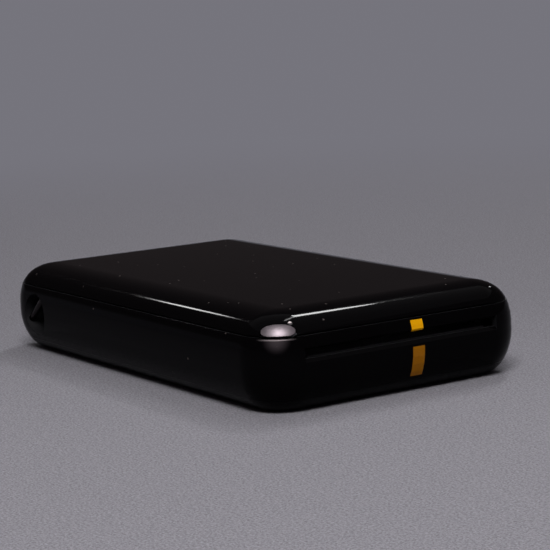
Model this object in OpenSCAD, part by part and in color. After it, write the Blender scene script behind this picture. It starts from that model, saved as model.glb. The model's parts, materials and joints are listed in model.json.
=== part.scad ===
// Compact photo printer: hinged cover, paper tray, roller train and thermal head in a rounded case.
// The short end with the paper slot faces +X, the hinge is at -X, and the case stands on z = 0.

/* [Case] */
// Length of the case, along X
case_length = 127; // [122:0.5:140]
// Width of the case, along Y
case_width = 74.7; // [73:0.1:86]
// Height of the case
case_height = 22.5; // [22.3:0.1:28]
// Radius of the corners seen from above
corner_radius = 11.14; // [10.6:0.02:12]
// Height of the widest line
waist_height = 10.5; // [9.5:0.1:11.5]
// How far the top rim rolls inwards
top_inset = 13; // [12.4:0.1:14]
// Fullness of the top roll
top_power = 2.86; // [2.5:0.02:3.2]
// How far the bottom rolls inwards
bottom_inset = 6.9; // [5:0.1:7.4]
// Fullness of the bottom roll
bottom_power = 1.95; // [1.7:0.05:2.6]
// Wall of the body shell
body_wall = 1.8; // [1.4:0.1:2]
// Wall of the cover
cover_wall = 1.6; // [1.2:0.1:1.8]
// Wall of the bottom cover's floor
floor_wall = 1.6; // [1.2:0.1:1.8]
// Height of the cover, from its top face to the upper edge of the body shell
cover_depth = 5; // [4.7:0.1:5.3]
// Gap between the body shell and the cover
cover_gap = 0.4; // [0.3:0.05:0.5]
// Lower edge of the body shell
base_seam = 3.2; // [3.1:0.05:3.3]
// Gap between the body shell and the bottom cover
base_gap = 0.1; // [0.05:0.05:0.15]
// Locating tongue of the bottom cover: thickness
tongue_wall = 0.8; // [0.6:0.1:0.9]
// Locating tongue: height above the lower edge of the body
tongue_rise = 0.7; // [0.5:0.1:0.8]
// Radius of the rubber feet
foot_radius = 3; // [2:0.1:4]
// How far the feet lift the case
foot_lift = 0.4; // [0.3:0.05:0.6]
// Depth of the seats of the feet
foot_seat = 0.5; // [0.3:0.05:0.7]

/* [Slot and marks] */
// Length of the slot beyond each side of the tray
slot_margin = 1.1; // [0.6:0.1:2.1]
// Distance of the slot's middle below the body shell's edge
slot_drop = 4.1; // [3.9:0.05:4.2]
// Opening of the slot
slot_gap = 2.1; // [1.8:0.1:2.4]
// Extra width of the slot's chamfered lips
slot_lip = 0.75; // [0.4:0.05:0.9]
// Depth of the lips
lip_depth = 0.8; // [0.5:0.1:1]
// Middle of the yellow marks, along Y
mark_y = 4.05; // [0:0.05:8]
// Width of the yellow marks
mark_width = 3.3; // [2.5:0.1:5]
// Lower mark: bottom
mark_low = 4; // [3.8:0.1:5]
// Distance of the lower mark's top below the slot's middle
mark_gap = 2.4; // [2.2:0.1:5.4]
// Distance of the upper mark's top below the body shell's edge
mark_inset = 0.5; // [0.3:0.1:1.5]
// Depth of the marks in the wall
mark_depth = 0.8; // [0.5:0.1:0.9]

/* [Lanyard anchor] */
// Distance from the rear end to the middle of the recess
lanyard_inset = 16.7; // [16.1:0.1:19.5]
// Room between the recess's wall and the edges of the body shell
lanyard_room = 0.35; // [0.2:0.05:0.8]
// Depth of the recess
lanyard_depth = 6.3; // [5.5:0.1:6.5]
// Wall of the recess
lanyard_wall = 1.4; // [1.2:0.1:1.5]
// Radius of the metal bar
bar_radius = 0.9; // [0.7:0.05:1]
// Distance of the bar from the recess's middle
bar_offset = 2.04; // [1.8:0.05:2.3]
// Slope of the bar
bar_slope = 40; // [30:1:50]
// Depth of the bar's middle below the case side
bar_inset = 1.9; // [1.7:0.05:2.3]
// How far the bar enters the wall at each end
bar_seat = 1.1; // [0.8:0.05:1.2]

/* [Cover hinge] */
// Distance of the hinge line from the end of the case
hinge_inset = 1.4; // [1.35:0.05:1.6]
// Height of the hinge line above the body's edge
hinge_rise = 0.25; // [0.1:0.05:0.4]
// Radius of the barrel and of the knuckles
barrel_radius = 1.3; // [1.2:0.02:1.34]
// Distance from the outer end of a knuckle to the round of the corner
hinge_margin = 1.2; // [0.2:0.1:7.9]
// Width of a knuckle
knuckle_width = 3; // [2:0.1:4]
// Radius of the hinge pins
hinge_pin_radius = 0.7; // [0.5:0.05:0.75]
// Length of the pin inside the barrel
hinge_pin_reach = 3.4; // [2.5:0.1:5]

/* [Power button] */
// Angle of the button round the corner
button_angle = -35.3; // [-45:0.1:-30]
// Distance of its middle from the corner's centre
button_reach = 9.35; // [9.2:0.01:9.5]
// Distance of its middle below the top face
button_drop = 3.5; // [3.4:0.02:3.6]
// Upward lean of its face
button_lean = 38; // [34:1:42]
// Length of the button
button_length = 7.6; // [6.5:0.1:8]
// Height of the button along its face
button_rise = 3; // [2.6:0.1:3.1]
// How far it stands out of the cover
button_proud = 0.35; // [0.2:0.05:0.5]
// Press of the button
button_travel = 0.25; // [0.2:0.01:0.28]
// Radius of its stem
stem_radius = 1.4; // [1.2:0.05:1.5]
// Distance of the stem from the corner's centre
stem_reach = 6.2; // [6:0.05:6.4]
// Radius of the switch board
switch_board_radius = 2.9; // [2.6:0.05:3]
// Distance of the switch board's underside below the body shell's edge
switch_board_drop = 5.6; // [5.5:0.1:6.5]
// Width of the push switch
switch_size = 3.6; // [3:0.1:3.8]
// Height of the push switch
switch_height = 1.3; // [1:0.1:1.4]
// Radius of the status light
light_radius = 0.5; // [0.4:0.05:0.7]
// Turn of the status light round the corner
light_angle = -16; // [-18:0.5:-10]

/* [Chassis] */
// Room between the paper tray and the side of the case, for the gears
side_room = 11.45; // [11.35:0.05:11.75]
// Wall of the chassis
chassis_wall = 1.4; // [1.2:0.05:1.45]
// Floor thickness of the tray
tray_floor = 1.2; // [1:0.1:1.4]
// Distance of the tray's floor below the slot's middle
tray_drop = 1.3; // [1.2:0.05:1.4]
// Distance of the tray walls' top below the body shell's edge
tray_top_drop = 0.7; // [0.5:0.1:1.5]
// Distance from the rear end of the case to the tray
tray_inset = 6.5; // [6.3:0.1:9.5]
// Reach of the tray's floor in front of the pick shaft
tray_reach = 11; // [10.5:0.1:11.5]
// Distance from the side plates to the front end of the case
plate_inset = 9.5; // [9.3:0.1:10.5]
// Rise of the side plates at the head above the body shell's edge
plate_rise = 0.9; // [0.7:0.05:1.1]
// Distance of the paper guides' upper face below the slot's middle
guide_drop = 0.5; // [0.45:0.02:0.6]
// Thickness of the paper guides
guide_wall = 0.9; // [0.7:0.1:1]

/* [Rollers] */
// Distance between the pick shaft and the feed shaft, along X
pick_gap = 18; // [17:0.1:18.4]
// How far the pick tyres stand above the tray's floor
pick_rise = 0.5; // [0.4:0.02:0.6]
// Radius of the pick tyres
pick_radius = 4.2; // [4:0.02:4.25]
// Width of a pick tyre
pick_width = 6; // [4:0.1:7]
// Middle of a pick tyre, along Y
pick_y = 12; // [10:0.1:13]
// Distance between the feed shaft and the platen, along X
feed_gap = 13; // [12.5:0.1:13.5]
// How far the feed roller stands above the paper guides
feed_rise = 0.1; // [0:0.02:0.2]
// Radius of the feed roller
feed_radius = 3.5; // [3.3:0.02:3.55]
// Radius of the pinch roller
pinch_radius = 2; // [1.8:0.02:2.05]
// Radius of the pinch roller's ends
pinch_end = 0.9; // [0.7:0.05:1]
// Distance from the platen's axis to the front end of the case
platen_inset = 22.5; // [22.1:0.1:22.9]
// Radius of the platen
platen_radius = 4.5; // [4.2:0.02:4.55]
// Room at each end of the rubber rollers
roller_margin = 1.5; // [1.3:0.1:3.9]
// Radius of the roller shafts
shaft_radius = 1.25; // [1:0.05:1.4]
// Outer radius of the bushes
bush_radius = 2; // [1.8:0.05:2.2]
// Flange radius of the bushes
bush_flange = 2.4; // [2.3:0.05:2.45]
// Flange thickness of the bushes
bush_rim = 0.5; // [0.3:0.05:0.7]

/* [Drive] */
// Gear module
gear_module = 0.4; // [0.38:0.005:0.41]
// Teeth of the motor pinion and of the small wheel of the reduction gear
pinion_teeth = 12; // [12:1:13]
// Teeth of the platen gear and of the large wheel of the reduction gear
large_teeth = 26; // [25:1:27]
// Teeth of the feed gear
feed_teeth = 20; // [19:1:21]
// Teeth of the pick gear and of its idler
pick_teeth = 24; // [23:1:25]
// Width of a gear
gear_width = 2; // [1.6:0.05:2.1]
// Gap between the chassis and the gears
gear_gap = 0.5; // [0.4:0.05:0.6]
// Play between the teeth
tooth_play = 0.08; // [0.04:0.01:0.12]
// Radius of the gear pins
stud_radius = 1; // [0.8:0.05:1.1]
// Distance between the platen and the motor shaft, along X
motor_gap = 12.2; // [11.8:0.1:12.4]
// Distance of the motor shaft below the platen's axis
motor_drop = 1.7; // [1.5:0.05:1.8]
// Width of the motor
motor_width = 9.6; // [8:0.1:9.8]
// Room under the motor
motor_room = 1.2; // [1.1:0.05:1.5]
// Length of the motor
motor_length = 15; // [12:0.5:20]
// Radius of the motor's shaft
motor_shaft = 0.5; // [0.4:0.05:0.6]
// Thickness of the gear plate
gear_plate_wall = 0.8; // [0.6:0.05:0.9]

/* [Thermal head] */
// Height of the ceramic strip's underside above the slot's middle
head_rise = 0.1; // [0.08:0.01:0.3]
// Thickness of the ceramic strip
ceramic_wall = 0.6; // [0.5:0.05:0.8]
// Reach of the ceramic strip in front of the platen's axis
ceramic_reach = 6; // [5.8:0.1:6.5]
// Width of the ceramic strip, along the paper
ceramic_width = 11; // [9:0.5:11.5]
// Thickness of the heat sink
sink_wall = 1.3; // [1.1:0.05:1.4]
// Height of the fins
fin_rise = 1.6; // [1:0.05:1.7]
// Thickness of a fin
fin_wall = 0.9; // [0.7:0.05:1]
// Distance between the platen and the head pin, along X
head_pin_gap = 10; // [9.8:0.1:10.2]
// Height of the head pin above the ceramic strip's underside
head_pin_rise = 2.5; // [2.4:0.05:2.6]
// Radius of the head pin
head_pin_radius = 0.8; // [0.6:0.05:0.9]
// Distance of the pressure bridge's middle behind the platen's axis
bridge_shift = 1; // [0.8:0.1:1.2]
// Width of the pressure bridge
bridge_width = 12; // [10:0.5:12.5]
// Thickness of the pressure bridge
bridge_wall = 0.8; // [0.6:0.05:0.9]
// Middle of a head spring, along Y
head_spring_y = 15; // [10:0.5:18]
// Coil radius of the head springs
head_spring_radius = 1.6; // [1.4:0.05:1.8]

/* [Pressure pad] */
// Length of the pad, along X
pad_length = 14; // [12:0.5:15]
// Width of the pad
pad_width = 36; // [32:0.5:40]
// Room between the pad and the pick tyres
pad_room = 0.5; // [0.45:0.02:0.7]
// Thickness of the pad
pad_wall = 1.8; // [1.7:0.05:2]
// Middle of a pad screw, along Y
pad_screw_y = 12; // [10:0.5:13]
// Lift of the pad
pad_lift = 2; // [1.5:0.1:2.1]
// Radius of the guide posts
post_radius = 1.9; // [1.7:0.05:2]
// Room between the lifted pad and the guide posts
post_room = 0.5; // [0.4:0.05:0.9]
// Radius of the screws' shoulder
shoulder_radius = 1.2; // [1:0.05:1.25]
// Coil radius of the pad springs
pad_spring_radius = 2.5; // [2.4:0.05:2.8]
// Diameter of the spring wire
spring_wire = 0.35; // [0.3:0.01:0.4]

/* [Electronics] */
// Distance from the rear end of the case to the main board
board_inset = 6.5; // [6.3:0.1:7.5]
// Length of the main board
board_length = 33; // [28:0.5:34]
// Room between the main board and the line of the tray's wall
board_margin = 6.4; // [5.9:0.1:8.9]
// Thickness of the main board
board_wall = 1.2; // [1:0.1:1.4]
// Underside of the main board
board_z = 3.2; // [3.1:0.05:3.6]
// Inset of the board's screws from its edges
board_screw_inset = 3; // [2.8:0.1:4]
// USB socket, along Y
usb_y = -9; // [-12:0.5:5]
// Width of the USB socket
usb_width = 7.5; // [7:0.1:9]
// Height of the USB socket
usb_height = 2.6; // [2.4:0.1:3]
// Length of the USB socket
usb_length = 5.6; // [5:0.1:7]
// Wall of the USB socket
usb_wall = 0.3; // [0.2:0.05:0.4]
// Distance of the shield from the board's rear edge
shield_inset = 12; // [10:0.5:14]
// Length of the shield
shield_length = 14; // [8:0.5:15]
// Width of the shield
shield_width = 16; // [10:0.5:17]
// Height of the shield
shield_height = 1.8; // [1.2:0.1:3]
// Sheet of the shield
shield_wall = 0.2; // [0.15:0.05:0.3]
// Room between the main board and the battery
battery_gap = 2.5; // [2:0.1:3.5]
// Room between the battery and the pick roller
battery_room = 2.3; // [1.8:0.1:4.8]
// Room between the battery and the line of the tray's wall
battery_margin = 3.9; // [2.9:0.1:7.9]
// Room between the battery and the tray
battery_clearance = 1.5; // [1.3:0.1:3.3]

/* [Screws and fits] */
// Shank radius of the small screws
screw_radius = 0.7; // [0.5:0.05:0.75]
// Head radius of the small screws
screw_head = 1.4; // [1.2:0.05:1.5]
// Head height of the small screws
screw_cap = 0.7; // [0.5:0.05:0.8]
// Length of the tray's screws
tray_screw_length = 5; // [4:0.1:5.4]
// Length of the board's screws
board_screw_length = 2.9; // [2.6:0.1:3]
// Length of the bridge's screws
bridge_screw_length = 3.4; // [2.4:0.1:3.6]
// Length of the case screws
case_screw_length = 6.2; // [5:0.1:6.4]
// Shank radius of the case screws
case_screw_radius = 0.9; // [0.7:0.05:1]
// Head radius of the case screws
case_screw_head = 1.8; // [1.6:0.05:1.9]
// Radius of the bosses
boss_radius = 2.2; // [2:0.05:2.3]
// Play of a pin or shaft in its bore
pin_play = 0.05; // [0.03:0.01:0.08]
// Play round a fixed inlay
inlay_play = 0.05; // [0.03:0.01:0.08]
// Clear space round a moving piece
free_play = 0.3; // [0.25:0.01:0.35]

/* [Hidden] */
end_x = case_length / 2;
side_y = case_width / 2;
steps_top = 14;
steps_bottom = 7;
core_x = end_x - corner_radius;
core_y = side_y - corner_radius;
eps = 0.01;

// Case profile: [distance in from the widest line, height], from the bottom edge to the top face
flat_inset = corner_radius - 0.14;
angle_top = acos(pow(1 - flat_inset / top_inset, top_power / 2));
angle_bottom = asin(pow(1 - foot_lift / waist_height, bottom_power / 2));
rise_end = pow(sin(angle_top), 2 / top_power);
function low_point(a) = [
    bottom_inset * (1 - pow(cos(a), 2 / bottom_power)),
    waist_height * (1 - pow(sin(a), 2 / bottom_power))
];
function high_point(a) = [
    top_inset * (1 - pow(cos(a), 2 / top_power)),
    waist_height + (case_height - waist_height) * pow(sin(a), 2 / top_power) / rise_end
];
skin = concat(
    [for (i = [steps_bottom:-1:1]) low_point(angle_bottom * i / steps_bottom)],
    [for (i = [0:steps_top]) high_point(angle_top * i / steps_top)]
);
last = len(skin) - 1;
function across(v) = [v[1], -v[0]] / norm(v);
function inward(i) = i == 0 ? [0, 1] : i == last ? [0, -1] : across(skin[i + 1] - skin[i - 1]);
function deeper(d) = [for (i = [0:last]) skin[i] + (i == 0 ? min(d, floor_wall) : d) * inward(i)];
function at_height(z, i = 0) = i >= last ? skin[last][0]
    : skin[i + 1][1] >= z ? skin[i][0]
        + (skin[i + 1][0] - skin[i][0]) * (z - skin[i][1]) / (skin[i + 1][1] - skin[i][1])
    : at_height(z, i + 1);
ceiling = case_height - cover_wall;
floor_top = foot_lift + floor_wall;
seam_height = case_height - cover_depth;
cover_edge = seam_height + cover_gap;
base_edge = base_seam - base_gap;
battery_z = floor_top + 0.6;

// Places along the case, from its ends and sides
tray_half = side_y - side_room;
tray_rear = -end_x + tray_inset;
plate_front = end_x - plate_inset;
slot_half = tray_half + slot_margin;
roller_half = tray_half - roller_margin;
platen_x = end_x - platen_inset;
feed_x = platen_x - feed_gap;
pick_x = feed_x - pick_gap;
motor_x = platen_x + motor_gap;
head_pin_x = platen_x + head_pin_gap;
ceramic_front = platen_x + ceramic_reach;
bridge_x = platen_x - bridge_shift;
tray_front = pick_x + tray_reach;
pad_x = pick_x;
board_rear = -end_x + board_inset;
board_width = 2 * (tray_half - board_margin);
battery_rear = board_rear + board_length + battery_gap;
battery_length = pick_x - pick_radius - battery_room - battery_rear;
battery_width = 2 * (tray_half - battery_margin);
lanyard_x = end_x - lanyard_inset;

// Heights, from the cover's seam down to the paper's path and the rollers
slot_height = seam_height - slot_drop;
mark_high = slot_height - mark_gap;
mark_top = seam_height - mark_inset;
tray_z = slot_height - tray_drop;
tray_top = seam_height - tray_top_drop;
plate_top = seam_height + plate_rise;
guide_z = slot_height - guide_drop;
head_z = slot_height + head_rise;
head_pin_z = head_z + head_pin_rise;
pick_z = tray_z + pick_rise - pick_radius;
feed_z = guide_z + feed_rise - feed_radius;
pinch_z = feed_z + feed_radius + free_play + pinch_radius;
platen_z = head_z - free_play - platen_radius;
motor_z = platen_z - motor_drop;
motor_height = 2 * (motor_z - floor_top - motor_room);
pad_z = tray_z + pick_rise + pad_room;
post_z = pad_z + pad_wall + pad_lift + post_room;
battery_height = tray_z - tray_floor - battery_clearance - battery_z;
switch_board_z = seam_height - switch_board_drop;
button_z = case_height - button_drop;
lanyard_z = (seam_height + base_seam) / 2;
lanyard_radius = (seam_height - base_seam) / 2 - lanyard_room - lanyard_wall;

// Hinge, button and recess places
rib_pitch_x = 14;
rib_pitch_y = 12;
rib_end = pick_x - pad_length / 2 - 2;
hinge_x = -end_x + hinge_inset;
hinge_z = seam_height + hinge_rise;
knuckle_in = core_y - hinge_margin - knuckle_width;
barrel_half = knuckle_in - free_play;
bar_direction = [cos(bar_slope), sin(bar_slope)];
bar_middle = [-lanyard_x - bar_offset * bar_direction[1], lanyard_z + bar_offset * bar_direction[0]];
bar_half = sqrt(pow(lanyard_radius, 2) - pow(bar_offset, 2)) + bar_seat;
switch_top = switch_board_z + 0.8 + switch_height;
stem_bottom = switch_top + button_travel + 0.09;

// Gear places, in the XZ plane
plate_out = tray_half + chassis_wall;
layer_a = plate_out + gear_gap;
layer_b = layer_a + gear_width + free_play;
gear_plate_y = layer_b + gear_width + 0.4;
function pitch_radius(n) = gear_module * n / 2;
function mesh(n, m) = pitch_radius(n) + pitch_radius(m);
function meet(p, q, a, b) = let (
    v = q - p,
    d = norm(v),
    u = v / d,
    s = (a * a - b * b + d * d) / (2 * d),
    h = sqrt(max(0, a * a - s * s))
) p + s * u + h * [-u[1], u[0]] * (u[0] > 0 ? 1 : -1);
pick_at = [pick_x, pick_z];
feed_at = [feed_x, feed_z];
platen_at = [platen_x, platen_z];
motor_at = [motor_x, motor_z];
reduction_at = meet(platen_at, motor_at, mesh(pinion_teeth, large_teeth), mesh(large_teeth, pinion_teeth));
idler_at = meet(feed_at, platen_at, mesh(feed_teeth, pinion_teeth), mesh(pinion_teeth, large_teeth));
pick_idler_at = meet(pick_at, feed_at, mesh(pick_teeth, pick_teeth), mesh(pick_teeth, feed_teeth));
head_pin_at = [head_pin_x, head_pin_z];
pinch_at = [feed_x, pinch_z];
front_post = [reduction_at[0] + 7.5, reduction_at[1] + 2.5];
middle_post = [idler_at[0] + 0.6, idler_at[1] + 4.7];
function bearing(p, q) = atan2(q[1] - p[1], q[0] - p[0]);
function phase(p, q, n, m, start) = let (
    t = bearing(p, q),
    u = (t - start) * n / 360
) t + 180 - (0.5 - u) * 360 / m;
platen_phase = 0;
reduction_phase = phase(platen_at, reduction_at, large_teeth, pinion_teeth, platen_phase);
motor_phase = phase(reduction_at, motor_at, large_teeth, pinion_teeth, reduction_phase);
idler_phase = phase(platen_at, idler_at, large_teeth, pinion_teeth, platen_phase);
feed_phase = phase(idler_at, feed_at, pinion_teeth, feed_teeth, idler_phase);
pick_idler_phase = phase(feed_at, pick_idler_at, feed_teeth, pick_teeth, feed_phase);
pick_phase = phase(pick_idler_at, pick_at, pick_teeth, pick_teeth, pick_idler_phase);

// Places of the fasteners, [x, y]
case_screw_places = [
    [-core_x - 2, core_y + 2], [-core_x - 2, -core_y - 2],
    [end_x - 8.3, -tray_half + 3.9], [end_x - 8.3, tray_half - motor_length - 6.9]
];
foot_places = [for (sx = [-1, 1], sy = [-1, 1]) [sx * (core_x - 6), sy * (core_y - 4)]];
tray_screw_places = [for (sy = [-1, 1]) each
    [[tray_rear + 1.6, sy * (tray_half - 2.9)], [tray_front - 2.5, sy * (tray_half - 5.9)]]];
board_screw_places = [for (
    x = [board_rear + board_screw_inset, board_rear + board_length - board_screw_inset],
    sy = [-1, 1]
) [x, sy * (board_width / 2 - board_screw_inset)]];
boss_y = plate_out + 2;

body_black = [0.05, 0.05, 0.06];
frame_grey = [0.3, 0.31, 0.33];
steel = [0.7, 0.71, 0.73];
gear_white = [0.88, 0.87, 0.82];
board_green = [0.05, 0.3, 0.16];
mark_yellow = [0.95, 0.68, 0.05];
rubber_black = [0.1, 0.1, 0.11];

// Forms of the case

module profile(d) {
    line = deeper(d);
    polygon(concat(
        [[0, line[0][1]]],
        [for (p = line) [corner_radius - p[0], p[1]]],
        [[0, line[last][1]]]
    ));
}

module between(z0, z1) {
    intersection() {
        children();
        translate([-1, z0]) square([corner_radius + 3, z1 - z0]);
    }
}

// Runs a profile round the case: four straight sides and four corners
module round_case() {
    for (sx = [-1, 1], sy = [-1, 1])
        translate([sx * core_x, sy * core_y, 0])
            rotate([0, 0, atan2(sy, sx) - 45])
                rotate_extrude(angle = 90, $fn = 64) children();
    for (side = [0, 180]) {
        rotate([0, 0, side]) translate([core_x, core_y, 0])
            rotate([90, 0, 0]) linear_extrude(2 * core_y) children();
        rotate([0, 0, side + 90]) translate([core_y, core_x, 0])
            rotate([90, 0, 0]) linear_extrude(2 * core_x) children();
    }
}

module core_slab(z0, z1) {
    translate([-core_x, -core_y, z0]) cube([2 * core_x, 2 * core_y, z1 - z0]);
}

// A solid of the whole case, d deeper than the outer skin
module case_solid(d) {
    round_case() profile(d);
    core_slab(deeper(d)[0][1], deeper(d)[last][1]);
}

module rod_y(p, r, y0, y1, fn = 48) {
    translate([p[0], y1, p[1]]) rotate([90, 0, 0]) cylinder(r = r, h = y1 - y0, $fn = fn);
}

module both_sides() {
    children();
    mirror([0, 1, 0]) children();
}

module profile_y(y0, y1) {
    translate([0, y1, 0]) rotate([90, 0, 0]) linear_extrude(y1 - y0) children();
}

module at_corner(angle = 0) {
    translate([core_x, -core_y, 0]) rotate([0, 0, angle]) children();
}

// Body shell

module slot_cut() {
    half = slot_gap / 2;
    slope = slot_lip / lip_depth;
    out = lip_depth + 1;
    profile_y(-slot_half, slot_half) polygon([
        [end_x - 6, slot_height - half], [end_x - lip_depth, slot_height - half],
        [end_x - lip_depth + out, slot_height - half - slope * out],
        [end_x - lip_depth + out, slot_height + half + slope * out],
        [end_x - lip_depth, slot_height + half], [end_x - 6, slot_height + half]
    ]);
}

module mark_form(z0, z1, play, over) {
    translate([core_x, mark_y + mark_width / 2 + play, 0])
        rotate([90, 0, 0])
            linear_extrude(mark_width + 2 * play)
                between(z0 - play, z1 + play)
                    difference() {
                        profile(-over);
                        profile(mark_depth);
                    }
}

module bar_form(radius, half) {
    translate([bar_middle[0], -side_y + bar_inset, bar_middle[1]])
        rotate([0, 90 - bar_slope, 0])
            cylinder(r = radius, h = 2 * half, center = true, $fn = 32);
}

module lanyard_cup() {
    intersection() {
        case_solid(0.02);
        rod_y([-lanyard_x, lanyard_z], lanyard_radius + lanyard_wall, -side_y - 1,
            -side_y + lanyard_depth + lanyard_wall);
    }
}

module case_boss(p) {
    corner = abs(p[1]) > core_y;
    translate([p[0], p[1], base_seam]) cylinder(r = boss_radius, h = 6, $fn = 40);
    translate([p[0], p[1], base_seam + tongue_rise + 0.4])
        rotate([0, 0, corner ? atan2(sign(p[1]), sign(p[0])) : 0])
            translate([0, -0.6, 0]) cube([corner ? 5.8 : 7, 1.2, 5.6 - tongue_rise]);
}

module body_shell() {
    color(body_black)
    difference() {
        union() {
            round_case() between(base_seam, seam_height) difference() {
                profile(0);
                profile(body_wall);
            }
            lanyard_cup();
            for (p = case_screw_places) case_boss(p);
            both_sides() rod_y([hinge_x, hinge_z], barrel_radius, knuckle_in, knuckle_in + knuckle_width);
            both_sides() translate([hinge_x - barrel_radius, knuckle_in, seam_height - 2])
                cube([2 * barrel_radius, knuckle_width, 2 + hinge_rise]);
            at_corner(button_angle) {
                translate([stem_reach, 0, switch_board_z - 1.5])
                    cylinder(r = switch_board_radius, h = 1.5, $fn = 48);
                translate([stem_reach, -1.5, switch_board_z - 1.5]) cube([3.6, 3, 1.5]);
                translate([stem_reach, 0, seam_height - 2.4])
                    cylinder(r = stem_radius + 1.2, h = 1.9, $fn = 48);
                translate([stem_reach + 1.8, -1.5, seam_height - 2.4]) cube([1.9, 3, 1.9]);
            }
        }
        slot_cut();
        mark_form(mark_low, mark_high, inlay_play, 0.3);
        mark_form(slot_height, mark_top, inlay_play, 0.3);
        rod_y([-lanyard_x, lanyard_z], lanyard_radius, -side_y - 1, -side_y + lanyard_depth);
        bar_form(bar_radius + inlay_play, bar_half + inlay_play);
        for (p = case_screw_places) translate([p[0], p[1], base_seam - 1])
            cylinder(r = case_screw_radius + pin_play, h = 6, $fn = 32);
        rod_y([hinge_x, hinge_z], barrel_radius + free_play, -knuckle_in, knuckle_in);
        both_sides() rod_y([hinge_x, hinge_z], hinge_pin_radius + pin_play, 0,
            knuckle_in + knuckle_width - 0.6, 32);
        usb_form(usb_width + 0.8, usb_height + 0.8, -end_x - 1, board_rear);
        at_corner(button_angle) {
            translate([stem_reach, 0, switch_top]) cylinder(r = stem_radius + pin_play, h = 8, $fn = 48);
            translate([stem_reach + 1.2, -button_length / 2 - 0.3, seam_height - 0.4])
                cube([6, button_length + 0.6, 1]);
        }
    }
}

module tongue_band() {
    difference() {
        profile(body_wall + 0.15);
        profile(body_wall + 0.15 + tongue_wall);
    }
}

// The tongue stops where the gears, the motor and the lanyard recess stand close to the wall
module tongue() {
    difference() {
        round_case() {
            between(floor_top - 0.15, base_seam + tongue_rise) tongue_band();
            between(floor_top - 0.15, floor_top + 0.3) translate([0, -0.15]) tongue_band();
        }
        translate([pick_x - 8, tray_half - motor_length - 2.9, floor_top]) cube([end_x, side_y, 4]);
        rod_y([-lanyard_x, lanyard_z], lanyard_radius + lanyard_wall + free_play,
            -side_y - 1, -side_y + lanyard_depth + 4);
    }
}

module bottom_cover() {
    color(body_black)
    difference() {
        union() {
            difference() {
                union() {
                    round_case() between(foot_lift, base_edge) profile(0);
                    core_slab(foot_lift, base_edge);
                }
                intersection() {
                    case_solid(body_wall);
                    translate([-end_x, -side_y, floor_top]) cube([case_length, case_width, 9]);
                }
            }
            tongue();
            for (p = case_screw_places) translate([p[0], p[1], floor_top - 0.2])
                cylinder(r = boss_radius, h = base_edge - floor_top + 0.2, $fn = 40);
            for (p = tray_screw_places) translate([p[0], p[1], floor_top - 0.2])
                cylinder(r = boss_radius, h = tray_z - tray_floor - floor_top + 0.2, $fn = 40);
            for (p = board_screw_places) translate([p[0], p[1], floor_top - 0.2])
                cylinder(r = boss_radius - 0.2, h = board_z - floor_top + 0.2, $fn = 40);
            for (y = [-0.3, 0.3]) translate([battery_rear + 2, y * battery_width - 0.6, floor_top - 0.2])
                cube([battery_length - 4, 1.2, 0.8]);
            for (x = [battery_rear - 1.3, battery_rear + battery_length + 0.1])
                translate([x, -8, floor_top - 0.2]) cube([1.2, 16, 3.4]);
        }
        for (p = case_screw_places) translate([p[0], p[1], foot_lift - 1]) {
            cylinder(r = case_screw_radius + 0.2, h = 9, $fn = 32);
            cylinder(r = case_screw_head + 0.2, h = 2, $fn = 40);
        }
        for (p = foot_places) translate([p[0], p[1], foot_lift - 1])
            cylinder(r = foot_radius + inlay_play, h = 1 + foot_seat, $fn = 48);
        for (p = tray_screw_places)
            translate([p[0], p[1], tray_z - screw_cap - tray_screw_length - free_play])
                cylinder(r = screw_radius + pin_play, h = 12, $fn = 32);
        for (p = board_screw_places) translate([p[0], p[1], floor_top - 0.8])
            cylinder(r = screw_radius + pin_play, h = 4, $fn = 32);
    }
}

module rubber_feet() {
    color(rubber_black)
    for (p = foot_places) translate([p[0], p[1], 0]) rotate_extrude($fn = 48)
        polygon([[0, 0], [foot_radius - 0.3, 0], [foot_radius, 0.3],
            [foot_radius, foot_lift + foot_seat], [0, foot_lift + foot_seat]]);
}

module screw(r, head, cap, length) {
    translate([0, 0, -length]) cylinder(r = r, h = length + eps, $fn = 32);
    difference() {
        cylinder(r = head, h = cap, $fn = 40);
        translate([-head * 0.55, -0.15, cap - 0.3]) cube([head * 1.1, 0.3, 1]);
        translate([-0.15, -head * 0.55, cap - 0.3]) cube([0.3, head * 1.1, 1]);
    }
}

module case_screws() {
    color(steel)
    for (p = case_screw_places) translate([p[0], p[1], foot_lift + 1]) mirror([0, 0, 1])
        screw(case_screw_radius, case_screw_head, 0.9, case_screw_length);
}

module mark_upper() {
    color(mark_yellow)
    difference() {
        mark_form(slot_height, mark_top, 0, 0);
        slot_cut();
    }
}

module mark_lower() {
    color(mark_yellow) mark_form(mark_low, mark_high, 0, 0);
}

module lanyard_bar() {
    color(steel) bar_form(bar_radius, bar_half);
}

module cover_hinge_pins() {
    color(steel) both_sides()
        rod_y([hinge_x, hinge_z], hinge_pin_radius, barrel_half - hinge_pin_reach,
            knuckle_in + knuckle_width - 0.65, 32);
}

// Cover

module at_button() {
    at_corner(button_angle) translate([button_reach, 0, button_z]) rotate([0, 90 - button_lean, 0])
        rotate([0, 0, 90]) children();
}

// Outline of the button, seen square to its face: long axis along x
module button_outline(play) {
    a = button_length / 2 + play;
    b = button_rise / 2 + play;
    polygon([for (i = [0:39]) let (t = i * 9, c = cos(t), s = sin(t))
        [a * sign(c) * pow(abs(c), 0.85), b * sign(s) * pow(abs(s), 0.85)]]);
}

module button_gap() {
    at_button() translate([0, 0, -4]) linear_extrude(8) {
        button_outline(0.25);
        translate([-button_length / 2 - 0.25, -5]) square([button_length + 0.5, 5]);
    }
}

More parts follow.
